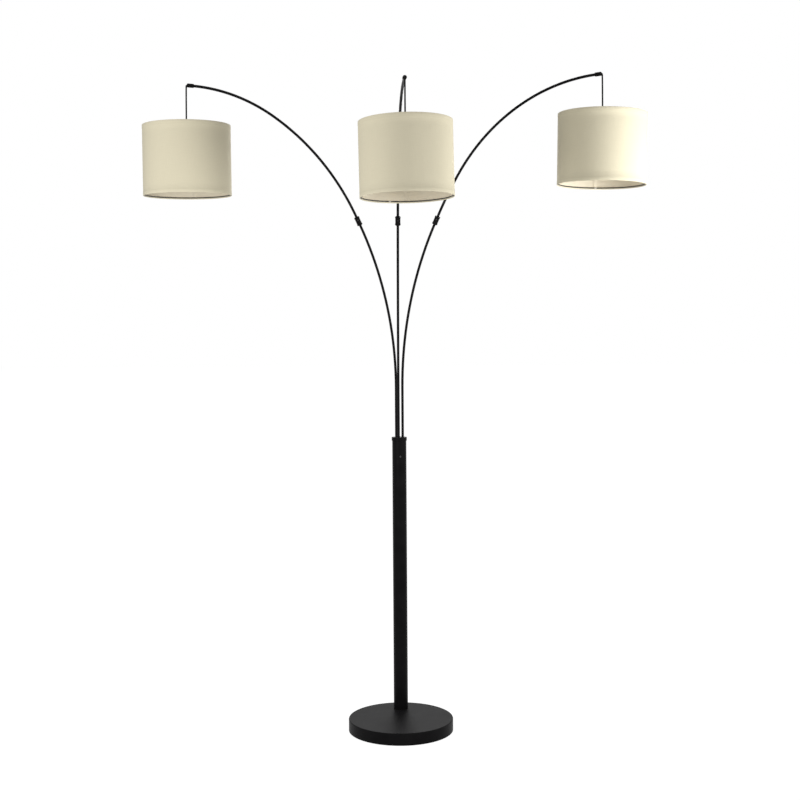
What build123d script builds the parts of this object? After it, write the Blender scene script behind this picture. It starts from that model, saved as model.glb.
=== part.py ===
from build123d import *
from collections import namedtuple
from math import cos, radians, sin, sqrt, tan
import os

# Tree floor lamp: a round weighted base, one pole and three bent arms, each with a drum shade
# hanging from its tip on a short cord.
# Millimetres and degrees. Origin on the floor under the middle of the base, +Z up, -Y to the front.
# An azimuth is counted from the front (-Y) towards the right (+X).

# Base
base_diameter = 360.0
base_height = 41.4
cover_wall = 1.2
cover_edge_radius = 3.0
cover_lift = 1.0
pad_thickness = 3.0
pad_inset = 5.0
weight_inset = 4.6
weight_thickness = 20.0
boss_diameter = 90.0
web_thickness = 11.0
nut_recess_diameter = 60.0

# Hollow stud and its flanged nut, which clamp the pole, the cover and the weight together
stud_diameter = 14.0
stud_bore = 9.0
stud_depth_in_pole = 13.0
nut_width = 22.0
nut_height = 8.0
nut_flange_diameter = 36.0
nut_flange_thickness = 2.5
stud_end_past_nut = 1.0

# Mains inlet in the back of the base
inlet_height = 10.5
inlet_bore = 7.2
inlet_neck_diameter = 11.0
inlet_flange_diameter = 15.0
inlet_flange_thickness = 2.0
inlet_groove = 1.7
inlet_hole_length = 5.0

# Pole, which stands this far behind the middle of the base
pole_offset = 108.0
pole_diameter = 50.0
pole_wall = 1.5
pole_foot_thickness = 14.0
lamp_cap_top = 1002.0

# Cap and hub at the top of the pole
cap_plate = 3.0
cap_height = 12.5
cap_wall = 1.7
cap_edge_radius = 1.2
socket_circle_radius = 13.2
hub_length = 65.0
hub_screw_azimuth = 8.3
hub_screw_below_top = 68.0
hub_screw_diameter = 4.0
hub_screw_length = 4.6
hub_screw_head_diameter = 6.5
hub_screw_head_height = 1.6
hub_screw_head_radius = 0.8
hub_screw_slot_width = 0.8
hub_screw_slot_depth = 0.8

# Wires inside the pole and arms
pole_wire_diameter = 6.0
pole_wire_bend_radius = 12.0
cord_diameter = 5.0
splice_diameter = 36.0
splice_height = 30.0
splice_edge_radius = 3.0
splice_below_hub = 22.0
groove_width = 10.0
groove_depth = 14.0

# Arms
tube_diameter = 9.0
tube_wall = 1.2
collar_diameter = 12.8
collar_height = 5.0
tail_below_hub = 3.0
lower_bend_radius = 1176.0
lower_bend_angle = 28.9
connector_length = 31.0
connector_diameter = 19.0
connector_waist_diameter = 17.6
connector_collar_length = 5.0
connector_edge = 1.2
tube_end_gap = 2.0
set_screw_diameter = 4.0
set_screw_hex = 2.0
set_screw_hex_depth = 2.0
set_screw_offset = 4.5
end_straight = 20.0
tip_cap_length = 21.0
tip_cap_diameter = 13.0
tip_cap_edge = 0.8
grip_ball_diameter = 8.8
grip_inset = 4.0
tube_behind_grip = 5.0
mouth_diameter = 7.6
mouth_flare = 0.3

# Each arm's straight height above the cap, the radii of its two upper bends, and how far its shade's
# top hangs below its tip
left_straight = 176.1
left_first_radius = 800.0
left_last_radius = 588.0
left_shade_drop = 128.1
front_straight = 167.4
front_first_radius = 853.0
front_last_radius = 552.0
front_shade_drop = 129.8
right_straight = 176.1
right_first_radius = 1276.0
right_last_radius = 658.0
right_shade_drop = 126.2

# Cord from the tip to the lampholder. It turns down to plumb in short steps, and each corner's bend
# takes up this share of the shorter stretch beside it.
cord_tail_in_grip = 3.0
cord_straight_out = 5.4
cord_step = 2.2
cord_steps = 2
cord_turn_per_step = 30.0
cord_bend_share = 0.45
cord_entry_rise = 8.0
cord_depth_in_holder = 6.0

# Lampholder, measured down from the plane of the shade's top edge
holder_cap_rise = 12.0
holder_cap_diameter = 35.0
holder_cap_wall = 2.0
holder_cap_crown = 5.0
holder_cap_dome_radius = 9.0
spider_plate_drop = 15.0
holder_flange_diameter = 44.0
holder_flange_thickness = 3.0
holder_diameter = 34.0
holder_length = 47.0
holder_bore = 26.8
holder_contact_depth = 5.0
shade_nut_diameter = 54.0
shade_nut_height = 8.0
shade_nut_edge = 1.0

# Shade
shade_diameter = 279.0
shade_height = 224.0
shade_wall = 1.2
wire_diameter = 3.5
top_ring_inset = 1.0
bottom_ring_inset = 3.0
spider_plate_diameter = 56.0
spider_plate_thickness = 1.2
spider_arm_count = 3

# Bulb
bulb_cap_diameter = 26.2
bulb_cap_length = 25.0
bulb_button_diameter = 9.0
bulb_button_height = 3.0
bulb_diameter = 60.0
bulb_length = 82.0
bulb_neck_diameter = 24.0
bulb_neck_length = 12.0
glass_wall = 1.0

# Clearances
running_clearance = 0.05
face_clearance = 0.2
ball_clearance = 0.2
fixed_clearance = 0.1
passing_clearance = 0.3

# Each arm: where its socket is, where it points, its straight height above the cap, the radius and
# angle of its two upper bends, how far its upper tube is turned in the connector, how far its pendant
# leans to the front and to the right at the top, and how far the shade's top hangs below the tip.
Arm = namedtuple("Arm", "socket azimuth straight first_bend last_bend twist lean_front lean_right shade_drop")
arms = {
    "left": Arm(
        -128.7, -55.8, left_straight, (left_first_radius, 33.2), (left_last_radius, 29.15), 0.0,
        1.8, -0.4, left_shade_drop),
    "front": Arm(
        -8.7, 0.8, front_straight, (front_first_radius, 16.2), (front_last_radius, 47.9), 2.6,
        -0.8, -1.1, front_shade_drop),
    "right": Arm(
        111.3, 51.7, right_straight, (right_first_radius, 7.2), (right_last_radius, 54.3), 0.0,
        1.0, 1.0, right_shade_drop),
}

# Values that follow from the sizes above
up = Vector(0, 0, 1)
pole_foot = Vector(0, pole_offset, 0)
at_pole = Pos(pole_foot)
base_radius = base_diameter / 2
cover_inside_top = base_height - cover_wall
pole_radius = pole_diameter / 2
pole_bore_radius = pole_radius - pole_wall
pole_top = lamp_cap_top - cap_plate
hub_top = pole_top - collar_height - 2 * face_clearance
hub_bottom = hub_top - hub_length
splice_top = hub_bottom - splice_below_hub
splice_bottom = splice_top - splice_height
tube_radius = tube_diameter / 2
tube_bore_radius = tube_radius - tube_wall
cord_radius = cord_diameter / 2
nut_top = cover_inside_top - web_thickness
nut_bottom = nut_top - nut_flange_thickness - nut_height
stud_bottom = nut_bottom - stud_end_past_nut
stud_top = base_height + stud_depth_in_pole
weight_top = pad_thickness + weight_thickness
inlet_outside = base_radius + inlet_flange_thickness
inlet_inside = base_radius - inlet_groove - inlet_flange_thickness
shade_bore_radius = shade_diameter / 2 - shade_wall
ring_radius = shade_bore_radius - fixed_clearance - wire_diameter / 2
holder_top = -(spider_plate_drop - holder_flange_thickness)
holder_bottom = holder_top - holder_length
bulb_seat = holder_top - holder_contact_depth
bulb_cap_bottom = bulb_seat - bulb_button_height - bulb_cap_length


def write(name, shape):
    shape.label = name
    export_step(shape, f"parts/{name}.step")


def column(radius, low, high):
    return Pos(0, 0, low) * Cylinder(radius, high - low, align=(Align.CENTER, Align.CENTER, Align.MIN))


def sleeve(outer_radius, inner_radius, low, high):
    return column(outer_radius, low, high) - column(inner_radius, low, high)


def turned(points):
    # A solid turned about the Z axis from an outline of (radius, height) points.
    outline = Plane.XZ * make_face(Polyline(*points, close=True))
    return revolve(outline, axis=Axis.Z)


def heading(azimuth):
    return Vector(sin(radians(azimuth)), -cos(radians(azimuth)), 0)


def swept(path, outer_radius, inner_radius=0.0):
    start = Plane(origin=path @ 0, z_dir=path % 0)
    section = Circle(outer_radius)
    if inner_radius > 0:
        section = section - Circle(inner_radius)
    return sweep(start * section, path=path)


# Base
def base_cover():
    shell = column(base_radius, cover_lift, base_height)
    shell = fillet(shell.faces().sort_by(Axis.Z)[-1].edges(), cover_edge_radius)
    inside = column(base_radius - cover_wall, cover_lift, cover_inside_top)
    inner_edge_radius = cover_edge_radius - cover_wall
    if inner_edge_radius > 0:
        inside = fillet(inside.faces().sort_by(Axis.Z)[-1].edges(), inner_edge_radius)
    shell = shell - inside
    shell = shell - at_pole * column(stud_diameter / 2 + passing_clearance, cover_lift, base_height)
    neck_hole = Cylinder(inlet_neck_diameter / 2 + fixed_clearance, inlet_hole_length)
    return shell - Pos(0, base_radius, inlet_height) * Rot(90, 0, 0) * neck_hole


def base_weight():
    disc = column(base_radius - weight_inset, pad_thickness, weight_top)
    disc = disc + at_pole * column(boss_diameter / 2, pad_thickness, cover_inside_top)
    disc = disc - at_pole * column(nut_recess_diameter / 2, pad_thickness, nut_top)
    disc = disc - at_pole * column(stud_diameter / 2 + passing_clearance, pad_thickness, cover_inside_top)
    groove_length = base_radius - pole_offset
    groove = Box(groove_width, groove_length, groove_depth, align=(Align.CENTER, Align.MIN, Align.MIN))
    return disc - at_pole * Pos(0, 0, pad_thickness) * groove


def base_pad():
    return column(base_radius - pad_inset, 0, pad_thickness)


def inlet_grommet():
    bore = inlet_bore / 2
    neck = inlet_neck_diameter / 2
    flange = inlet_flange_diameter / 2
    groove_high = base_radius + fixed_clearance
    groove_low = groove_high - inlet_groove
    outline = [
        (bore, inlet_inside),
        (flange, inlet_inside),
        (flange, groove_low),
        (neck, groove_low),
        (neck, groove_high),
        (flange, groove_high),
        (flange, inlet_outside),
        (bore, inlet_outside),
    ]
    return Pos(0, 0, inlet_height) * Rot(-90, 0, 0) * turned(outline)


def hollow_stud():
    return at_pole * sleeve(stud_diameter / 2, stud_bore / 2, stud_bottom, stud_top)


def stud_nut():
    flange_bottom = nut_top - nut_flange_thickness
    hexagon = extrude(RegularPolygon(nut_width / 2, 6, major_radius=False), nut_height)
    nut = Pos(0, 0, nut_bottom) * hexagon + column(nut_flange_diameter / 2, flange_bottom, nut_top)
    return at_pole * (nut - column(stud_diameter / 2 + running_clearance, nut_bottom, nut_top))


# Pole and what sits inside its ends
def pole():
    tube = sleeve(pole_radius, pole_bore_radius, base_height, pole_top)
    foot_top = base_height + pole_foot_thickness
    stud_hole = stud_diameter / 2 + running_clearance
    tube = tube + sleeve(pole_bore_radius + pole_wall / 2, stud_hole, base_height, foot_top)
    return at_pole * tube - screw_shank(hub_screw_diameter / 2 + fixed_clearance)


def screw_shank(radius):
    out = heading(hub_screw_azimuth)
    height = lamp_cap_top - hub_screw_below_top
    inner_end = pole_foot + out * (pole_radius - hub_screw_length) + up * height
    return Plane(origin=inner_end, z_dir=out) * column(radius, 0, hub_screw_length + hub_screw_head_height)


def hub_screw():
    out = heading(hub_screw_azimuth)
    height = lamp_cap_top - hub_screw_below_top
    under_head = pole_foot + out * (pole_radius + fixed_clearance) + up * height
    head = column(hub_screw_head_diameter / 2, 0, hub_screw_head_height)
    head = fillet(head.faces().sort_by(Axis.Z)[-1].edges(), hub_screw_head_radius)
    slot = Box(hub_screw_head_diameter, hub_screw_slot_width, 2 * hub_screw_slot_depth)
    head = head - Pos(0, 0, hub_screw_head_height) * slot
    shank_length = hub_screw_length + fixed_clearance
    shank = column(hub_screw_diameter / 2, -shank_length, 0)
    return Plane(origin=under_head, z_dir=out) * (head + shank)


def socket_place(arm):
    return pole_foot + heading(arm.socket) * socket_circle_radius


def pole_cap():
    cap = column(pole_radius + fixed_clearance + cap_wall, lamp_cap_top - cap_height, lamp_cap_top)
    cap = fillet(cap.faces().sort_by(Axis.Z)[-1].edges(), cap_edge_radius)
    cap = at_pole * (cap - column(pole_radius + fixed_clearance, lamp_cap_top - cap_height, pole_top))
    for arm in arms.values():
        hole = column(tube_radius + passing_clearance, pole_top, lamp_cap_top)
        cap = cap - Pos(socket_place(arm)) * hole
    return cap


def arm_hub():
    hub = at_pole * column(pole_bore_radius - fixed_clearance, hub_bottom, hub_top)
    for arm in arms.values():
        bore = column(tube_radius + running_clearance, hub_bottom, hub_top)
        hub = hub - Pos(socket_place(arm)) * bore
    return hub - screw_shank(hub_screw_diameter / 2 + fixed_clearance)


def splice_block():
    block = column(splice_diameter / 2, splice_bottom, splice_top)
    return at_pole * fillet(block.edges().filter_by(GeomType.CIRCLE), splice_edge_radius)


def pole_wire():
    start = (0, inlet_inside - face_clearance, inlet_height)
    corner = (0, pole_offset, inlet_height)
    end = (0, pole_offset, splice_bottom)
    path = FilletPolyline(start, corner, end, radius=pole_wire_bend_radius)
    return swept(path, pole_wire_diameter / 2)


# Arms. Each lies in one upright plane through its socket: x outwards, y up.
def arm_plane(arm):
    out = heading(arm.azimuth)
    return Plane(origin=socket_place(arm), x_dir=out, z_dir=out.cross(up))


def lower_line(arm, bottom, past_bend):
    bend_start = (0, lamp_cap_top + arm.straight)
    straight = Line((0, bottom), bend_start)
    bend = JernArc(bend_start, (0, 1), lower_bend_radius, -lower_bend_angle)
    return arm_plane(arm) * (straight + bend + Line(bend @ 1, bend @ 1 + (bend % 1) * past_bend))


def upper_line(arm, start, start_direction, before_bend, past_bend):
    # Takes over from the lower tube in the middle of the connector, where it may be turned a little.
    plane = arm_plane(arm)
    begin = plane.to_local_coords(start)
    along = plane.to_local_coords(start + start_direction) - begin
    straight = Line(begin, begin + along * before_bend)
    first = JernArc(straight @ 1, along, arm.first_bend[0], -arm.first_bend[1])
    last = JernArc(first @ 1, first % 1, arm.last_bend[0], -arm.last_bend[1])
    line = plane * (straight + first + last + Line(last @ 1, last @ 1 + (last % 1) * past_bend))
    return line.rotate(Axis(start, start_direction), arm.twist)


def connector_place(arm):
    line = lower_line(arm, pole_top, connector_length / 2)
    return line @ 1, line % 1


def tip_place(arm):
    # The middle of the tip cap's outer face, and the direction it faces.
    middle, direction = connector_place(arm)
    line = upper_line(arm, middle, direction, connector_length / 2, end_straight)
    return line @ 1, line % 1


def lower_tube(arm):
    line = lower_line(arm, hub_bottom - tail_below_hub, (connector_length - tube_end_gap) / 2)
    tube = swept(line, tube_radius, tube_bore_radius)
    collar = sleeve(collar_diameter / 2, tube_radius - tube_wall / 2, hub_top + face_clearance,
                    pole_top - face_clearance)
    return tube + Pos(socket_place(arm)) * collar


def upper_tube(arm):
    middle, direction = connector_place(arm)
    start = middle + direction * (tube_end_gap / 2)
    before_bend = (connector_length - tube_end_gap) / 2
    tube_short_of_tip = grip_inset + tube_behind_grip
    line = upper_line(arm, start, direction, before_bend, end_straight - tube_short_of_tip)
    return swept(line, tube_radius, tube_bore_radius)


def arm_wire(arm):
    middle, direction = connector_place(arm)
    low = lower_line(arm, splice_top + face_clearance, connector_length / 2)
    wire_short_of_tip = grip_inset + tube_behind_grip + face_clearance
    high = upper_line(arm, middle, direction, connector_length / 2, end_straight - wire_short_of_tip)
    return swept(low, cord_radius) + swept(high, cord_radius)


def connector_frame(arm):
    # The set screw faces the front.
    middle, direction = connector_place(arm)
    front = Vector(0, -1, 0)
    across = front - direction * front.dot(direction)
    return Plane(origin=middle, x_dir=across, z_dir=direction)


def connector(arm):
    half = connector_length / 2
    outer = connector_diameter / 2
    waist = connector_waist_diameter / 2
    bore = tube_radius + fixed_clearance
    shoulder = half - connector_collar_length
    slope = outer - waist
    outline = [
        (bore, -half),
        (outer - connector_edge, -half),
        (outer, -half + connector_edge),
        (outer, -shoulder),
        (waist, -shoulder + slope),
        (waist, shoulder - slope),
        (outer, shoulder),
        (outer, half - connector_edge),
        (outer - connector_edge, half),
        (bore, half),
    ]
    hole = Pos(0, 0, set_screw_offset) * Rot(0, 90, 0) * column(
        set_screw_diameter / 2 + running_clearance, 0, outer)
    return connector_frame(arm) * (turned(outline) - hole)


def connector_screw(arm):
    outer_end = connector_waist_diameter / 2 - face_clearance
    inner_end = tube_radius + fixed_clearance
    screw = column(set_screw_diameter / 2, inner_end, outer_end)
    hexagon = extrude(RegularPolygon(set_screw_hex / 2, 6, major_radius=False), set_screw_hex_depth)
    screw = screw - Pos(0, 0, outer_end - set_screw_hex_depth) * hexagon
    return connector_frame(arm) * (Pos(0, 0, set_screw_offset) * Rot(0, 90, 0) * screw)


def grip_place(arm):
    tip, direction = tip_place(arm)
    return tip - direction * grip_inset, direction


def tip_side(arm):
    # Level, and across the arm at its tip.
    return tip_place(arm)[1].cross(up).normalized()


def tip_frame(arm):
    # Origin in the middle of the grip's ball, z out of the tip, x across the arm.
    middle, direction = grip_place(arm)
    return Plane(origin=middle, x_dir=tip_side(arm), z_dir=direction)


def tip_cap(arm):
    outer = tip_cap_diameter / 2
    seat = grip_ball_diameter / 2 + ball_clearance
    mouth = mouth_diameter / 2
    bore = tube_radius + fixed_clearance
    lip_start = sqrt(seat ** 2 - mouth ** 2)
    blank = [
        (0, grip_inset - tip_cap_length),
        (outer - tip_cap_edge, grip_inset - tip_cap_length),
        (outer, grip_inset - tip_cap_length + tip_cap_edge),
        (outer, grip_inset - tip_cap_edge),
        (outer - tip_cap_edge, grip_inset),
        (0, grip_inset),
    ]
    mouth_cone = [(0, 0), (mouth, 0), (mouth, lip_start), (mouth + mouth_flare, grip_inset), (0, grip_inset)]
    cap = turned(blank) - Sphere(seat) - turned(mouth_cone)
    cap = cap - column(bore, grip_inset - tip_cap_length, 0)
    return tip_frame(arm) * cap


def cord_grip(arm):
    ball = Sphere(grip_ball_diameter / 2)
    half_bore = grip_ball_diameter / 2
    return tip_frame(arm) * (ball - column(cord_radius + running_clearance, -half_bore, half_bore))


# Pendants
def pendant_axis(arm):
    # Upwards along the axis of the lampholder and the shade.
    return Vector(tan(radians(arm.lean_right)), -tan(radians(arm.lean_front)), 1).normalized()


def cord_route(arm):
    # Out of the grip, down plumb from the last step, and into the lampholder along its axis.
    middle, direction = grip_place(arm)
    points = [middle - direction * cord_tail_in_grip, middle + direction * cord_straight_out]
    step = direction
    for number in range(cord_steps):
        step = step.rotate(Axis((0, 0, 0), tip_side(arm)), -cord_turn_per_step)
        points.append(points[-1] + step * cord_step)
    axis = pendant_axis(arm)
    entry_above_shade = axis * (holder_cap_rise + cord_entry_rise)
    shade_top_height = tip_place(arm)[0].Z - arm.shade_drop
    entry = Vector(points[-1].X, points[-1].Y, shade_top_height + entry_above_shade.Z)
    shade_top = entry - entry_above_shade
    points.append(entry)
    points.append(shade_top + axis * (holder_cap_rise - cord_depth_in_holder))
    return points, shade_top


def cord_radii(points):
    radii = []
    for before, corner, after in zip(points, points[1:], points[2:]):
        turn = radians((corner - before).get_angle(after - corner))
        shorter = min((corner - before).length, (after - corner).length)
        radii.append(cord_bend_share * shorter / tan(turn / 2))
    return radii


def pendant_cord(arm):
    points = cord_route(arm)[0]
    path = FilletPolyline(*points, radius=cord_radii(points))
    print("cord length", round(path.length, 1))
    return swept(path, cord_radius)


def pendant_frame(arm):
    # Origin in the middle of the shade's top edge, z up its axis, x across the arm.
    shade_top = cord_route(arm)[1]
    return Plane(origin=shade_top, x_dir=tip_side(arm), z_dir=pendant_axis(arm))


def holder_cap():
    outer = column(holder_cap_diameter / 2, holder_top, holder_cap_rise)
    outer = fillet(outer.faces().sort_by(Axis.Z)[-1].edges(), holder_cap_dome_radius)
    inside_top = holder_cap_rise - holder_cap_crown
    inner = column(holder_cap_diameter / 2 - holder_cap_wall, holder_top, inside_top)
    inner = fillet(inner.faces().sort_by(Axis.Z)[-1].edges(), holder_cap_dome_radius - holder_cap_wall)
    return outer - inner - column(cord_radius + fixed_clearance, holder_top, holder_cap_rise)


def holder_body():
    body = column(holder_diameter / 2, holder_bottom, holder_top)
    body = body + column(holder_flange_diameter / 2, -spider_plate_drop, holder_top)
    return body - column(holder_bore / 2, holder_bottom, bulb_seat)


def shade_nut():
    high = -spider_plate_drop - spider_plate_thickness
    low = high - shade_nut_height
    ring = sleeve(shade_nut_diameter / 2, holder_diameter / 2 + running_clearance, low, high)
    return chamfer(ring.faces().sort_by(Axis.Z)[0].edges().sort_by(SortBy.RADIUS)[-1], shade_nut_edge)


def shade_spider():
    plate_top = -spider_plate_drop
    plate_bottom = plate_top - spider_plate_thickness
    hole_radius = holder_diameter / 2 + fixed_clearance
    frame = sleeve(spider_plate_diameter / 2, hole_radius, plate_bottom, plate_top)
    ring_height = -(top_ring_inset + wire_diameter / 2)
    frame = frame + Pos(0, 0, ring_height) * Torus(ring_radius, wire_diameter / 2)
    root_height = plate_bottom + fixed_clearance + wire_diameter / 2
    root = Vector((spider_plate_diameter - wire_diameter) / 2, 0, root_height)
    reach = Vector(ring_radius, 0, ring_height) - root
    rod = Plane(origin=root, z_dir=reach) * column(wire_diameter / 2, 0, reach.length)
    for number in range(spider_arm_count):
        frame = frame + Rot(0, 0, 360 * number / spider_arm_count) * rod
    return frame


def shade_bottom_ring():
    height = bottom_ring_inset + wire_diameter / 2 - shade_height
    return Pos(0, 0, height) * Torus(ring_radius, wire_diameter / 2)


def shade_drum():
    return sleeve(shade_diameter / 2, shade_bore_radius, -shade_height, 0)


def bulb_cap():
    cap = column(bulb_cap_diameter / 2, bulb_cap_bottom, bulb_seat - bulb_button_height)
    return cap + column(bulb_button_diameter / 2, bulb_seat - bulb_button_height, bulb_seat)


def glass_outline(inset):
    # Neck, shoulder and round end of the bulb, as a face from the axis outwards.
    neck = bulb_neck_diameter / 2 - inset
    round_end = bulb_diameter / 2 - inset
    top = bulb_cap_bottom - inset
    neck_end = bulb_cap_bottom - bulb_neck_length
    middle = bulb_cap_bottom - bulb_length + bulb_diameter / 2
    shoulder = Spline((neck, neck_end), (round_end, middle), tangents=[(0, -1), (0, -1)])
    end = RadiusArc((round_end, middle), (0, middle - round_end), round_end)
    sides = Polyline((0, middle - round_end), (0, top), (neck, top), (neck, neck_end))
    return Plane.XZ * make_face(sides + shoulder + end)


def bulb_glass():
    return revolve(glass_outline(0.0), axis=Axis.Z) - revolve(glass_outline(glass_wall), axis=Axis.Z)


os.makedirs("parts", exist_ok=True)

stand_pieces = [base_cover, base_weight, base_pad, inlet_grommet, hollow_stud, stud_nut, pole, pole_cap,
                arm_hub, hub_screw, splice_block, pole_wire]
arm_pieces = [lower_tube, connector, connector_screw, upper_tube, tip_cap, arm_wire, cord_grip, pendant_cord]
pendant_pieces = [holder_cap, holder_body, shade_nut, shade_spider, shade_bottom_ring, shade_drum, bulb_cap,
                  bulb_glass]

for piece in stand_pieces:
    write(piece.__name__, piece())

for side, arm in arms.items():
    for piece in arm_pieces:
        write(f"{side}_{piece.__name__}", piece(arm))

for piece in pendant_pieces:
    shape = piece()
    for side, arm in arms.items():
        write(f"{side}_{piece.__name__}", pendant_frame(arm) * shape)
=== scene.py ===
import bmesh
import bpy
from math import atan2, cos, pi, radians, sin
from mathutils import Matrix, Vector


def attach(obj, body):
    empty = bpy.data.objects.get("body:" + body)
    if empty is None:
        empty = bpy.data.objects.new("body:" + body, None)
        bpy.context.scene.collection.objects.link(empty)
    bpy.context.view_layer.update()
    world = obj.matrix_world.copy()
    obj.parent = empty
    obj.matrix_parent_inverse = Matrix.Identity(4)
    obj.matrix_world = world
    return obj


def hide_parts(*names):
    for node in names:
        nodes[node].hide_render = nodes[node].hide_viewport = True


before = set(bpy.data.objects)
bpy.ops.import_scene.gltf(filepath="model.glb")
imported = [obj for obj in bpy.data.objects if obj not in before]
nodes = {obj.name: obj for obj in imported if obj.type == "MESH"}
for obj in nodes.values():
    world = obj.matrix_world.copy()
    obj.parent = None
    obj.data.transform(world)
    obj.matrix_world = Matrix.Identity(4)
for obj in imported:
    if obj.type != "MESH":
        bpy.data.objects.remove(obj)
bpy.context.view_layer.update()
sides = ("left", "front", "right")

# Camera: level, where the photograph was taken from.
camera = {
    "place": (0.0049, -4.2933, 1.3431),
    "roll": 0.0064,
    "lens": 55.89,
    "sensor": 36.0,
    "shiftY": -0.0742,
}


def addCamera():
    data = bpy.data.cameras.new("photoCamera")
    data.lens = camera["lens"]
    data.sensor_width = camera["sensor"]
    data.shift_y = camera["shiftY"]
    eye = bpy.data.objects.new("photoCamera", data)
    eye.location = camera["place"]
    eye.rotation_euler = (pi / 2, camera["roll"], 0)
    bpy.context.scene.collection.objects.link(eye)
    bpy.context.scene.camera = eye


addCamera()
print("camera made")


# Sizes of a shade, which its cloth, film, frame welds and weave follow.
shade = {
    "radius": 0.1395,
    "height": 0.224,
    "columns": 192,
    "rowGap": 0.0185,
    "cloth": 0.0005,
    "film": 0.0006,
    "filmShort": 0.0009,   # the film ends this far short of the cloth's folded edges
    "filmLap": 0.0060,     # half of what the film's two ends overlap at the back
    "fold": 0.0008,        # radius of the cloth's folded edges
    "foldSteps": 6,
    "turnInTop": 0.0012,
    "turnInBottom": 0.0028,
    "hem": 0.0115,
    "hemRise": 0.0003,
    "step": 0.0006,
    "seamHalf": 0.0050,
    "seamRise": 0.0003,
    "smooth": radians(40),
    "atEdge": 0.00001,     # how near a point is to an edge's height to belong to it
    "skin": 0.0001,        # how far inside the radius the drum's outside begins
}


# Materials. A wire is one socket of a material's nodes, and sums of wires become Math nodes.
class Wire:
    def __init__(self, tree, socket=None):
        self.tree = tree
        self.socket = socket

    def node(self, kind, settings, values, output=0):
        made = self.tree.nodes.new("ShaderNode" + kind)
        for name, value in settings.items():
            if name == "stops":  # a ramp's places and colours
                while len(made.color_ramp.elements) < len(value):
                    made.color_ramp.elements.new(1.0)
                for stop, (place, colour) in zip(made.color_ramp.elements, value):
                    stop.position = place
                    stop.color = (*colour, 1.0)
            else:
                setattr(made, name, value)
        for name, value in values.items():
            if isinstance(value, Wire):
                self.tree.links.new(value.socket, made.inputs[name])
            else:
                made.inputs[name].default_value = value
        return Wire(self.tree, made.outputs[output] if made.outputs else None)

    def maths(self, operation, first, second=0.0):
        return self.node("Math", {"operation": operation}, {0: first, 1: second})

    def __add__(self, other):
        return self.maths("ADD", self, other)

    def __radd__(self, other):
        return self.maths("ADD", other, self)

    def __sub__(self, other):
        return self.maths("SUBTRACT", self, other)

    def __rsub__(self, other):
        return self.maths("SUBTRACT", other, self)

    def __mul__(self, other):
        return self.maths("MULTIPLY", self, other)

    def __rmul__(self, other):
        return self.maths("MULTIPLY", other, self)


def startMaterial(name):
    material = bpy.data.materials.new(name)
    material.use_nodes = True
    material.node_tree.nodes.clear()
    return material, Wire(material.node_tree)


def finishMaterial(wire, values):
    surface = wire.node("BsdfPrincipled", {}, values)
    wire.node("OutputMaterial", {}, {"Surface": surface})


def placeOn(wire):
    # Every object sits at the origin, so this is the place in metres in the lamp's own frame.
    return wire.node("TexCoord", {}, {}, "Object")


def stretched(wire, vector, scale):
    return wire.node("Mapping", {}, {"Vector": vector, "Scale": scale})


# Detail and roughness of each kind of noise.
noises = {
    "plain": (2.0, 0.5),
    "crisp": (2.0, 0.6),
    "cloudy": (3.0, 0.5),
    "fibrous": (3.0, 0.6),
    "porous": (3.0, 0.7),
    "streaky": (4.0, 0.6),
    "sandy": (4.0, 0.7),
}


def noise(wire, vector, scale, kind="plain"):
    detail, roughness = noises[kind]
    values = {"Vector": vector, "Scale": scale, "Detail": detail, "Roughness": roughness}
    return wire.node("TexNoise", {}, values)


def blended(first, second, share):
    # Wires or numbers, with share of the first and the rest of the second.
    return first * share + second * (1 - share)


def mixed(wire, share, first, second):
    # Sockets 0, 6 and 7 are a colour mix's share and its two colours, and 2 its result.
    values = {0: share, 6: (*first, 1.0), 7: (*second, 1.0)}
    return wire.node("Mix", {"data_type": "RGBA"}, values, 2)


noiseRange = (0.3, 0.7)  # most of a noise lies in here


def spread(wire, value, low=0.0, high=1.0):
    values = {"Value": value, "From Min": noiseRange[0], "From Max": noiseRange[1]}
    return wire.node("MapRange", {}, {**values, "To Min": low, "To Max": high})


def bump(wire, height, depth, strength=1.0):
    return wire.node("Bump", {}, {"Height": height, "Distance": depth, "Strength": strength})


# Satin black of all the steel that shows. The base is a little rougher than the tubes.
powder = {
    "dark": (0.0058, 0.0055, 0.0059),
    "light": (0.0095, 0.0091, 0.0096),
    "clouds": 22.0,       # soft changes of sheen per metre
    "cloudShare": 0.6,    # of the roughness, and the rest is the grain's
    "grain": 900.0,       # orange peel of the coat
    "grainDepth": 0.000002,
}
coats = {
    "tubeCoat": {"smooth": 0.30, "rough": 0.40, "specular": 0.035},
    "baseCoat": {"smooth": 0.42, "rough": 0.50, "specular": 0.039},
}


def powderCoat(name, smooth, rough, specular):
    material, wire = startMaterial(name)
    place = placeOn(wire)
    clouds = noise(wire, place, powder["clouds"], "cloudy")
    grain = noise(wire, place, powder["grain"], "crisp")
    finishMaterial(wire, {
        "Base Color": mixed(wire, spread(wire, clouds), powder["dark"], powder["light"]),
        "Roughness": spread(wire, blended(clouds, grain, powder["cloudShare"]), smooth, rough),
        "Specular IOR Level": specular,
        "Normal": bump(wire, grain, powder["grainDepth"]),
    })
    return material


# Dipped wire of the shade frames, with paler spots where the lacquer ran thin.
lacquer = {
    "dark": (0.016, 0.013, 0.011),
    "worn": (0.050, 0.042, 0.034),
    "wornFrom": 0.60,
    "wornTo": 0.72,
    "smooth": 0.34,
    "rough": 0.56,
    "drips": 160.0,
    "dripDepth": 0.00006,
}


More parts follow.
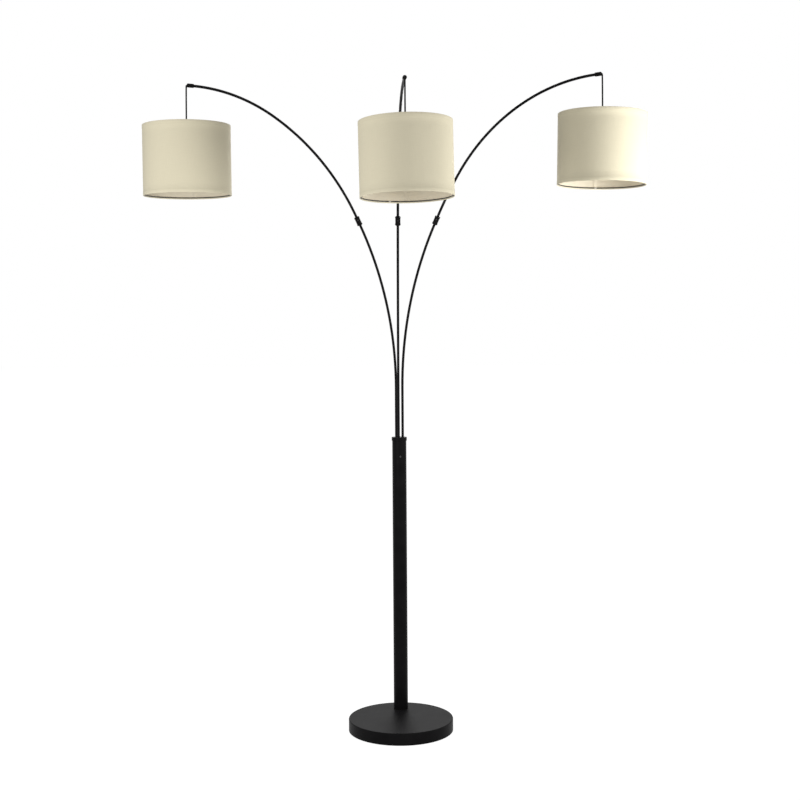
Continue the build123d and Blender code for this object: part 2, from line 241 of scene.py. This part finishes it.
def wireLacquer():
    material, wire = startMaterial("wireLacquer")
    place = placeOn(wire)
    drips = noise(wire, place, lacquer["drips"], "streaky")
    stops = [(lacquer["wornFrom"], (0.0, 0.0, 0.0)), (lacquer["wornTo"], (1.0, 1.0, 1.0))]
    worn = wire.node("ValToRGB", {"stops": stops}, {"Fac": drips})
    finishMaterial(wire, {
        "Base Color": mixed(wire, worn, lacquer["dark"], lacquer["worn"]),
        "Roughness": spread(wire, drips, lacquer["smooth"], lacquer["rough"]),
        "Normal": bump(wire, drips, lacquer["dripDepth"]),
    })
    return material


castings = {
    "dark": (0.060, 0.060, 0.064),
    "light": (0.125, 0.122, 0.122),
    "sand": 700.0,
    "sandShare": 0.5,
    "pitDepth": 0.00035,
    "patches": 35.0,
    "smooth": 0.65,
    "rough": 0.85,
    "metal": 0.6,
}


def castIron():
    material, wire = startMaterial("castIron")
    place = placeOn(wire)
    sand = noise(wire, place, castings["sand"], "sandy")
    patches = noise(wire, place, castings["patches"], "cloudy")
    tone = spread(wire, blended(sand, patches, castings["sandShare"]))
    finishMaterial(wire, {
        "Base Color": mixed(wire, tone, castings["dark"], castings["light"]),
        "Roughness": spread(wire, patches, castings["smooth"], castings["rough"]),
        "Metallic": castings["metal"],
        "Normal": bump(wire, sand, castings["pitDepth"]),
    })
    return material


plating = {
    "brushed": (1.0, 1.0, 12.0),
    "scratches": 260.0,
    "scratchDepth": 0.00003,
    "stains": 90.0,
    "smoothShare": 0.5,    # of the greatest roughness
}
metals = {
    "groundSteel": {"dark": (0.52, 0.50, 0.46), "light": (0.66, 0.64, 0.60), "roughest": 0.46},
    "zincPlate": {"dark": (0.48, 0.46, 0.40), "light": (0.62, 0.61, 0.58), "roughest": 0.42},
    "blackenedSteel": {"dark": (0.050, 0.050, 0.052), "light": (0.085, 0.083, 0.082), "roughest": 0.50},
    "capAluminium": {"dark": (0.68, 0.68, 0.66), "light": (0.80, 0.79, 0.77), "roughest": 0.36},
}


def platedSteel(name, dark, light, roughest):
    material, wire = startMaterial(name)
    place = placeOn(wire)
    brushed = stretched(wire, place, plating["brushed"])
    scratches = noise(wire, brushed, plating["scratches"], "streaky")
    stains = noise(wire, place, plating["stains"], "cloudy")
    finishMaterial(wire, {
        "Base Color": mixed(wire, spread(wire, stains), dark, light),
        "Roughness": spread(wire, scratches, plating["smoothShare"] * roughest, roughest),
        "Metallic": 1.0,
        "Normal": bump(wire, scratches, plating["scratchDepth"]),
    })
    return material


bloomed = {
    "pores": 1400.0,
    "poreDepth": 0.00005,
    "bloom": 45.0,         # dull patches on old rubber
    "smooth": 0.72,
    "rough": 0.90,
    "specular": 0.3,
}
rubbers = {
    "padRubber": {"dark": (0.022, 0.022, 0.022), "light": (0.034, 0.033, 0.032)},
    "grommetRubber": {"dark": (0.014, 0.014, 0.014), "light": (0.024, 0.023, 0.023)},
}


def rubber(name, dark, light):
    material, wire = startMaterial(name)
    place = placeOn(wire)
    pores = noise(wire, place, bloomed["pores"], "porous")
    bloom = noise(wire, place, bloomed["bloom"], "cloudy")
    finishMaterial(wire, {
        "Base Color": mixed(wire, spread(wire, bloom), dark, light),
        "Roughness": spread(wire, bloom, bloomed["smooth"], bloomed["rough"]),
        "Specular IOR Level": bloomed["specular"],
        "Normal": bump(wire, pores, bloomed["poreDepth"]),
    })
    return material


mould = {
    "spark": 2200.0,       # fine spark-eroded grain of the mould
    "sparkShare": 0.5,     # of the roughness, and the rest follows the flow
    "sparkDepth": 0.00002,
    "flow": 60.0,
}
plastics = {
    "hubNylon": {
        "dark": (0.020, 0.020, 0.021), "light": (0.030, 0.030, 0.031),
        "smooth": 0.45, "rough": 0.58, "specular": 0.5,
    },
    "holderPlastic": {
        "dark": (0.014, 0.014, 0.015), "light": (0.022, 0.022, 0.023),
        "smooth": 0.30, "rough": 0.42, "specular": 0.5,
    },
    "coreSheath": {
        "dark": (0.62, 0.60, 0.56), "light": (0.70, 0.68, 0.64),
        "smooth": 0.38, "rough": 0.50, "specular": 0.5,
    },
    "cordSheath": {
        "dark": (0.006, 0.006, 0.006), "light": (0.010, 0.010, 0.010),
        "smooth": 0.42, "rough": 0.55, "specular": 0.05,
    },
}


def mouldedPlastic(name, dark, light, smooth, rough, specular):
    material, wire = startMaterial(name)
    place = placeOn(wire)
    spark = noise(wire, place, mould["spark"], "crisp")
    flow = noise(wire, place, mould["flow"])
    finishMaterial(wire, {
        "Base Color": mixed(wire, spread(wire, flow), dark, light),
        "Roughness": spread(wire, blended(spark, flow, mould["sparkShare"]), smooth, rough),
        "Specular IOR Level": specular,
        "Normal": bump(wire, spark, mould["sparkDepth"]),
    })
    return material


opal = {
    "milk": (0.90, 0.89, 0.86),
    "shadow": (0.84, 0.83, 0.80),
    "frost": 40.0,
    "smooth": 0.22,
    "rough": 0.34,
    "coat": 0.4,
    "coatRough": 0.12,
}


def opalGlass():
    material, wire = startMaterial("opalGlass")
    frost = noise(wire, placeOn(wire), opal["frost"])
    finishMaterial(wire, {
        "Base Color": mixed(wire, spread(wire, frost), opal["milk"], opal["shadow"]),
        "Roughness": spread(wire, frost, opal["smooth"], opal["rough"]),
        "Coat Weight": opal["coat"],
        "Coat Roughness": opal["coatRough"],
    })
    return material


linen = {
    "pale": (0.800, 0.737, 0.553),
    "deep": (0.685, 0.625, 0.453),
    "thread": 0.0007,      # from one thread to the next
    "relief": 0.00012,
    "reliefShare": 0.6,
    "weaveShare": 0.7,     # of the relief, and the rest is the slubs'
    "slubLength": 24.0,    # thick stretches of thread, per metre along it
    "slubWidth": 900.0,
    "weftShare": 0.55,     # of the slubs
    "slubTone": 0.44,
    "gapTone": 0.35,       # painted shade: how much deeper the cloth is made between the threads
    "hemLine": 0.0008,     # half the width of the painted shade line at a hem's cut edge
    # how dark the painted shade line at a hem's cut edge is made
    "hemTone": 0.30,
    "smooth": 0.82,
    "rough": 0.92,
    "sheen": 0.12,
    "sheenRough": 0.6,
    "specular": 0.2,
}


def shadeLinen():
    # Plain weave on the shade's own map, which counts metres round the drum and up from its middle.
    material, wire = startMaterial("shadeLinen")
    place = wire.node("UVMap", {"uv_map": "cloth"}, {})
    apart = wire.node("SeparateXYZ", {}, {"Vector": place})
    around = Wire(wire.tree, apart.socket.node.outputs["X"])
    along = Wire(wire.tree, apart.socket.node.outputs["Y"])
    warp = wire.maths("SINE", around * (pi / linen["thread"]))
    weft = wire.maths("SINE", along * (pi / linen["thread"]))
    over = wire.maths("GREATER_THAN", warp * weft, 0.0)
    weave = blended(wire.maths("ABSOLUTE", warp), wire.maths("ABSOLUTE", weft), over)
    crossing = stretched(wire, place, (linen["slubLength"], linen["slubWidth"], 1.0))
    upright = stretched(wire, place, (linen["slubWidth"], linen["slubLength"], 1.0))
    acrossSlubs = noise(wire, crossing, 1.0, "fibrous")
    uprightSlubs = noise(wire, upright, 1.0, "fibrous")
    slubs = spread(wire, blended(acrossSlubs, uprightSlubs, linen["weftShare"]))
    # Painted shade: a faint dark line at each hem's cut edge, near the top and the bottom, stands in for the
    # shade of the hem's small step.
    hemEdge = shade["height"] / 2 - shade["hem"]
    fromEdge = wire.maths("ABSOLUTE", wire.maths("ABSOLUTE", along) - hemEdge)
    line = wire.maths("LESS_THAN", fromEdge, linen["hemLine"])
    # Slubs are the cloth's own tone; the darkening between the threads and at the hems' cut edges is painted
    # shade.
    tone = slubs * linen["slubTone"] + (1.0 - weave) * linen["gapTone"] + line * linen["hemTone"]
    finishMaterial(wire, {
        "Base Color": mixed(wire, tone, linen["pale"], linen["deep"]),
        "Roughness": spread(wire, slubs, linen["smooth"], linen["rough"]),
        "Sheen Weight": linen["sheen"],
        "Sheen Roughness": linen["sheenRough"],
        "Specular IOR Level": linen["specular"],
        "Normal": bump(wire, blended(weave, slubs, linen["weaveShare"]), linen["relief"],
                       linen["reliefShare"]),
    })
    return material


lining = {
    "pale": (0.828, 0.761, 0.607),
    "warm": (0.797, 0.720, 0.568),
    "clouds": 30.0,
    "cloudShare": 0.5,     # of the roughness, and the rest is the grain's
    "grain": 1200.0,       # the cloth's grain pressed into the film
    "grainDepth": 0.00003,
    "smooth": 0.48,
    "rough": 0.62,
    "specular": 0.25,
}


def shadeLining():
    material, wire = startMaterial("shadeLining")
    place = placeOn(wire)
    cloudy = noise(wire, place, lining["clouds"], "cloudy")
    through = noise(wire, place, lining["grain"])
    gloss = blended(cloudy, through, lining["cloudShare"])
    finishMaterial(wire, {
        "Base Color": mixed(wire, spread(wire, cloudy), lining["pale"], lining["warm"]),
        "Roughness": spread(wire, gloss, lining["smooth"], lining["rough"]),
        "Specular IOR Level": lining["specular"],
        "Normal": bump(wire, through, lining["grainDepth"]),
    })
    return material


tubeCoat = powderCoat("tubeCoat", **coats["tubeCoat"])
baseCoat = powderCoat("baseCoat", **coats["baseCoat"])
lacquered = wireLacquer()
iron = castIron()
groundSteel = platedSteel("groundSteel", **metals["groundSteel"])
zinc = platedSteel("zincPlate", **metals["zincPlate"])
blackened = platedSteel("blackenedSteel", **metals["blackenedSteel"])
capMetal = platedSteel("capAluminium", **metals["capAluminium"])
padRubber = rubber("padRubber", **rubbers["padRubber"])
grommetRubber = rubber("grommetRubber", **rubbers["grommetRubber"])
hubNylon = mouldedPlastic("hubNylon", **plastics["hubNylon"])
holderPlastic = mouldedPlastic("holderPlastic", **plastics["holderPlastic"])
coreSheath = mouldedPlastic("coreSheath", **plastics["coreSheath"])
cordSheath = mouldedPlastic("cordSheath", **plastics["cordSheath"])
bulbOpal = opalGlass()
cloth = shadeLinen()
film = shadeLining()
print("materials made")

# What each piece of the frame is finished in, by the last words of its name.
finishes = {
    "base_cover": baseCoat,
    "base_weight": iron,
    "base_pad": padRubber,
    "inlet_grommet": grommetRubber,
    "hollow_stud": zinc,
    "stud_nut": zinc,
    "pole": tubeCoat,
    "pole_cap": tubeCoat,
    "arm_hub": hubNylon,
    "hub_screw": blackened,
    "splice_block": coreSheath,
    "pole_wire": coreSheath,
    "lower_tube": tubeCoat,
    "connector": tubeCoat,
    "connector_screw": blackened,
    "upper_tube": tubeCoat,
    "tip_cap": tubeCoat,
    "arm_wire": coreSheath,
    "cord_grip": hubNylon,
    "pendant_cord": cordSheath,
    "holder_cap": holderPlastic,
    "holder_body": holderPlastic,
    "shade_nut": holderPlastic,
    "shade_spider": lacquered,
    "shade_bottom_ring": lacquered,
    "shade_drum": cloth,
    "bulb_cap": capMetal,
    "bulb_glass": bulbOpal,
}


def dress(piece, material):
    piece.data.materials.clear()
    piece.data.materials.append(material)


for name, node in nodes.items():
    kind = name
    for side in sides:
        kind = kind.removeprefix(side + "_")
    dress(node, finishes[kind])
print("frame dressed")

# Cords: each runs from inside the grip in the arm's tip down to inside the lampholder.
cord = {
    "diameter": 0.0050,
    "resolution": 24,
    "roundness": 6,
    "depthInHolder": 0.006,
    "routes": {
        "left": [
            (-0.66240, -0.32691, 2.16189),
            (-0.66934, -0.33163, 2.16171),
            (-0.67090, -0.33269, 2.16056),
            (-0.67177, -0.33328, 2.15864),
            (-0.67177, -0.33328, 2.05363),
            (-0.67168, -0.33284, 2.03963),
        ],
        "front": [
            (0.02347, -0.64207, 2.11658),
            (0.02393, -0.65045, 2.11614),
            (0.02403, -0.65229, 2.11495),
            (0.02409, -0.65329, 2.11299),
            (0.02409, -0.65329, 2.00641),
            (0.02436, -0.65349, 1.99241),
        ],
        "right": [
            (0.63760, -0.38103, 2.17893),
            (0.64419, -0.38624, 2.17887),
            (0.64568, -0.38742, 2.17776),
            (0.64653, -0.38809, 2.17584),
            (0.64653, -0.38809, 2.07267),
            (0.64629, -0.38785, 2.05868),
        ],
    },
    "exits": {
        "left": (-0.66819, -0.33084, 2.16174),
        "front": (0.02385, -0.64905, 2.11622),
        "right": (0.64309, -0.38537, 2.17888),
    },
    "lengths": {"left": 0.1317, "front": 0.1332, "right": 0.1298},
}


def addCord(side):
    points = cord["routes"][side]
    data = bpy.data.curves.new(side + "Cord", "CURVE")
    data.dimensions = "3D"
    data.bevel_depth = cord["diameter"] / 2
    data.bevel_resolution = cord["roundness"]
    data.use_fill_caps = True
    line = data.splines.new("NURBS")
    line.points.add(len(points) - 1)
    for point, place in zip(line.points, points):
        point.co = (*place, 1.0)
    line.order_u = 3
    line.use_endpoint_u = True
    line.resolution_u = cord["resolution"]
    piece = bpy.data.objects.new(side + "Cord", data)
    bpy.context.scene.collection.objects.link(piece)
    dress(piece, cordSheath)
    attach(piece, side + "_pendant")
    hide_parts(side + "_pendant_cord")


for side in sides:
    addCord(side)
print("cords made")


# Shades. Each is made upright under the middle of its top edge, then hung on the line of its cord.
def shadePlace(side):
    upper, lower = (Vector(point) for point in cord["routes"][side][-2:])
    axis = (upper - lower).normalized()
    back = Vector((0, 1, 0))
    back = (back - axis * back.dot(axis)).normalized()
    turn = Matrix((back.cross(axis), back, axis)).transposed()
    return Matrix.Translation(lower - axis * cord["depthInHolder"]) @ turn.to_4x4()


def beginPiece(name):
    piece = bpy.context.object
    piece.name = name
    piece.data.name = name
    return piece


def clearSelection():
    bpy.ops.object.select_all(action="DESELECT")


def editPiece():
    bpy.ops.object.mode_set(mode="EDIT")
    bpy.ops.mesh.select_mode(type="EDGE")
    bpy.ops.mesh.select_all(action="SELECT")


def pickEdges(piece, test):
    # Leaves selected only the edges whose two ends both pass.
    bpy.ops.mesh.select_all(action="DESELECT")
    mesh = bmesh.from_edit_mesh(piece.data)
    for edge in mesh.edges:
        if test(edge.verts[0].co) and test(edge.verts[1].co):
            edge.select_set(True)
    bmesh.update_edit_mesh(piece.data)


def pickFaces(piece, test):
    bpy.ops.mesh.select_mode(type="FACE")
    bpy.ops.mesh.select_all(action="DESELECT")
    mesh = bmesh.from_edit_mesh(piece.data)
    for face in mesh.faces:
        if test(face.calc_center_median()):
            face.select_set(True)
    bmesh.update_edit_mesh(piece.data)


def cutAcross(height):
    bpy.ops.mesh.select_all(action="SELECT")
    bpy.ops.mesh.bisect(plane_co=(0, 0, height), plane_no=(0, 0, 1))


def widen(factor):
    bpy.ops.transform.resize(value=(factor, factor, 1), center_override=(0, 0, 0))


def applyAll(piece):
    for modifier in list(piece.modifiers):
        bpy.ops.object.modifier_apply(modifier=modifier.name)


def hang(master, side, turn=0.0):
    # A copy of the master with a mesh of its own, in the pendant's place.
    piece = master.copy()
    piece.data = master.data.copy()
    piece.name = side + master.name
    piece.data.name = piece.name
    piece.data.transform(shadePlace(side) @ Matrix.Rotation(-turn, 4, "Z"))
    piece.data.update()
    bpy.context.scene.collection.objects.link(piece)
    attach(piece, side + "_pendant")
    return piece


def foldOver(piece, height, way, reach):
    # Turns the cloth's edge in over the film, in a half round, and runs it up or down inside.
    radius = shade["radius"]
    pickEdges(piece, lambda point: abs(point.z - height) < shade["atEdge"])
    before = (radius, 0.0)
    for number in range(1, shade["foldSteps"] + 1):
        turn = pi * number / shade["foldSteps"]
        now = (radius - shade["fold"] * (1 - cos(turn)), way * shade["fold"] * sin(turn))
        bpy.ops.mesh.extrude_region_move(TRANSFORM_OT_translate={"value": (0, 0, now[1] - before[1])})
        widen(now[0] / before[0])
        before = now
    bpy.ops.mesh.extrude_region_move(TRANSFORM_OT_translate={"value": (0, 0, -way * reach)})


def addMap(piece):
    # Metres round the drum and up from its middle. The map's own break lies at the seam, at the back.
    layer = piece.data.uv_layers.new(name="cloth")
    whole = 2 * pi * shade["radius"]
    for face in piece.data.polygons:
        middle = atan2(face.center.x, -face.center.y) * shade["radius"]
        for loop in face.loop_indices:
            point = piece.data.vertices[piece.data.loops[loop].vertex_index].co
            around = atan2(point.x, -point.y) * shade["radius"]
            around += whole * round((middle - around) / whole)
            layer.data[loop].uv = (around, point.z + shade["height"] / 2)


def addDrum(name, radius, tall):
    clearSelection()
    bpy.ops.mesh.primitive_cylinder_add(vertices=shade["columns"], radius=radius, depth=tall,
                                        end_fill_type="NOTHING", location=(0, 0, -shade["height"] / 2))
    bpy.ops.object.transform_apply(location=True)
    return beginPiece(name)


def thicken(piece, thickness):
    wall = piece.modifiers.new("wall", "SOLIDIFY")
    wall.thickness = thickness
    wall.offset = -1.0
    applyAll(piece)


def raiseLap(piece, half, rise, outside, reach):
    # The two ends of a drum's sheet overlap in a strip up its back.
    middle = -shade["height"] / 2
    pickFaces(piece, lambda point: point.y > 0 and abs(point.x) < half
              and abs(point.z - middle) < reach and Vector(point.xy).length > outside)
    bpy.ops.mesh.inset(thickness=shade["step"])
    bpy.ops.transform.translate(value=(0, rise, 0))


def modelCloth():
    height, hem = shade["height"], shade["hem"]
    piece = addDrum("ShadeCloth", shade["radius"], height - 2 * shade["fold"])
    editPiece()
    for cut in (-hem, -hem - shade["step"]):
        cutAcross(cut)
        cutAcross(-height - cut)
    rows = int((height - 2 * hem) / shade["rowGap"])
    for number in range(1, rows):
        cutAcross(-hem - number * (height - 2 * hem) / rows)
    # The folded edges come first, so that the hems carry them outwards too.
    foldOver(piece, -shade["fold"], 1, shade["turnInTop"])
    foldOver(piece, shade["fold"] - height, -1, shade["turnInBottom"])
    hemFrom = height / 2 - hem
    outside = shade["radius"] - shade["skin"]
    pickFaces(piece, lambda point: abs(point.z + height / 2) > hemFrom and Vector(point.xy).length > outside)
    widen(1 + shade["hemRise"] / shade["radius"])
    raiseLap(piece, shade["seamHalf"], shade["seamRise"], outside, hemFrom - shade["step"])
    bpy.ops.object.mode_set(mode="OBJECT")
    thicken(piece, shade["cloth"])
    addMap(piece)
    bpy.ops.object.shade_smooth_by_angle(angle=shade["smooth"])
    dress(piece, cloth)
    return piece


def modelFilm():
    tall = shade["height"] - 2 * shade["filmShort"]
    piece = addDrum("ShadeFilm", shade["radius"] - shade["cloth"], tall)
    editPiece()
    rows = int(tall / shade["rowGap"])
    for number in range(1, rows):
        cutAcross(-shade["filmShort"] - number * tall / rows)
    # Inwards, because the film lies inside the cloth.
    raiseLap(piece, shade["filmLap"], -shade["seamRise"], 0.0, tall)
    bpy.ops.object.mode_set(mode="OBJECT")
    thicken(piece, shade["film"])
    bpy.ops.object.shade_smooth_by_angle(angle=shade["smooth"])
    dress(piece, film)
    return piece


clothMaster = modelCloth()
filmMaster = modelFilm()
for side in sides:
    clothPiece = hang(clothMaster, side)
    filmPiece = hang(filmMaster, side)
    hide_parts(side + "_shade_drum")
    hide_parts(side + "_shade_drum")
bpy.data.objects.remove(clothMaster)
bpy.data.objects.remove(filmMaster)
print("shades made")

# Welds where each bottom ring's ends meet. Turned from the back, towards the right.
weld = {
    "ringRadius": 0.13645,
    "height": -0.21925,
    "length": 0.0075,
    "radius": 0.00215,
    "columns": 20,
    "cuts": (-0.3, -0.1, 0.1, 0.3),
    "edge": 0.0008,
    "edgeSteps": 3,
    "smooth": radians(50),
    "lump": 0.0025,
    "lumpRise": 0.0005,
    "turns": {"left": 150.0, "front": -22.5, "right": 1.0},
}


def modelWeld():
    clearSelection()
    bpy.ops.mesh.primitive_cylinder_add(vertices=weld["columns"], radius=weld["radius"], depth=weld["length"],
                                        end_fill_type="NGON")
    piece = beginPiece("RingWeld")
    editPiece()
    for share in weld["cuts"]:
        cutAcross(share * weld["length"])
    bpy.ops.object.mode_set(mode="OBJECT")
    edges = piece.modifiers.new("edges", "BEVEL")
    edges.width = weld["edge"]
    edges.segments = weld["edgeSteps"]
    edges.limit_method = "ANGLE"
    lumps = bpy.data.textures.new("weldLumps", "CLOUDS")
    lumps.noise_scale = weld["lump"]
    rough = piece.modifiers.new("lumps", "DISPLACE")
    rough.texture = lumps
    rough.strength = weld["lumpRise"]
    applyAll(piece)
    bpy.ops.object.shade_smooth_by_angle(angle=weld["smooth"])
    # Laid along the ring at the back of the shade.
    place = Matrix.Translation((0, weld["ringRadius"], weld["height"]))
    piece.data.transform(place @ Matrix.Rotation(pi / 2, 4, "Y"))
    dress(piece, groundSteel)
    return piece


weldMaster = modelWeld()
for side in sides:
    hang(weldMaster, side, radians(weld["turns"][side]))
bpy.data.objects.remove(weldMaster)
print("ring welds made")

# Studio: a pale floor that keeps the lamp's shadow, a white surround and soft boxes.
studio = {
    "floor": 120.0,
    "floorHeight": -0.0005,    # just clear of the pad
    "floorColour": (0.90, 0.90, 0.90),
    "floorShown": 0.20,        # share of its own lit colour that the camera sees in the floor
    "floorWhite": 1.20,        # white that the camera sees in the rest of it
    "ambient": 0.255,
    "lights": {
        "rightBox": {"place": (1.55, -0.88, 1.50), "aim": (0.6, -0.4, 1.9), "size": 0.8, "watts": 21.8},
        "leftBox": {"place": (-1.35, -1.9, 1.45), "aim": (-0.4, -0.45, 1.9), "size": 0.9, "watts": 21.1},
        "backBox": {"place": (0.2, 3.0, 3.2), "aim": (0.0, -0.4, 1.8), "size": 1.5, "watts": 60.0},
    },
}


def seenAsBackground(wire):
    # One where the eye meets the studio itself, or its mirror image, and nought where it lights.
    seen = wire.node("LightPath", {}, {}, "Is Camera Ray")
    mirrored = Wire(wire.tree, seen.socket.node.outputs["Is Glossy Ray"])
    through = Wire(wire.tree, seen.socket.node.outputs["Is Transmission Ray"])
    return wire.maths("MINIMUM", seen + mirrored + through, 1.0)


def addFloor():
    clearSelection()
    bpy.ops.mesh.primitive_plane_add(size=studio["floor"], location=(0, 0, studio["floorHeight"]))
    bpy.ops.object.transform_apply(location=True)
    piece = beginPiece("studioFloor")
    material, wire = startMaterial("studioFloor")
    lit = wire.node("BsdfDiffuse", {}, {"Color": (*studio["floorColour"], 1.0)})
    white = wire.node("Emission", {}, {"Color": (1.0, 1.0, 1.0, 1.0), "Strength": studio["floorWhite"]})
    share = seenAsBackground(wire) * (1.0 - studio["floorShown"])
    wire.node("OutputMaterial", {}, {"Surface": wire.node("MixShader", {}, {0: share, 1: lit, 2: white})})
    dress(piece, material)


def addSurround():
    world = bpy.data.worlds.new("studioSurround")
    bpy.context.scene.world = world
    world.use_nodes = True
    world.node_tree.nodes.clear()
    wire = Wire(world.node_tree)
    strength = studio["ambient"] + seenAsBackground(wire) * (1.0 - studio["ambient"])
    background = wire.node("Background", {}, {"Color": (1.0, 1.0, 1.0, 1.0), "Strength": strength})
    wire.node("OutputWorld", {}, {"Surface": background})


def addLight(name, light):
    data = bpy.data.lights.new(name, "AREA")
    data.size = light["size"]
    data.energy = light["watts"]
    lamp = bpy.data.objects.new(name, data)
    lamp.location = light["place"]
    lamp.rotation_euler = (Vector(light["aim"]) - Vector(light["place"])).to_track_quat("-Z", "Y").to_euler()
    bpy.context.scene.collection.objects.link(lamp)


addFloor()
addSurround()
for name, light in studio["lights"].items():
    addLight(name, light)
bpy.context.scene.view_settings.view_transform = "Standard"
print("studio made")
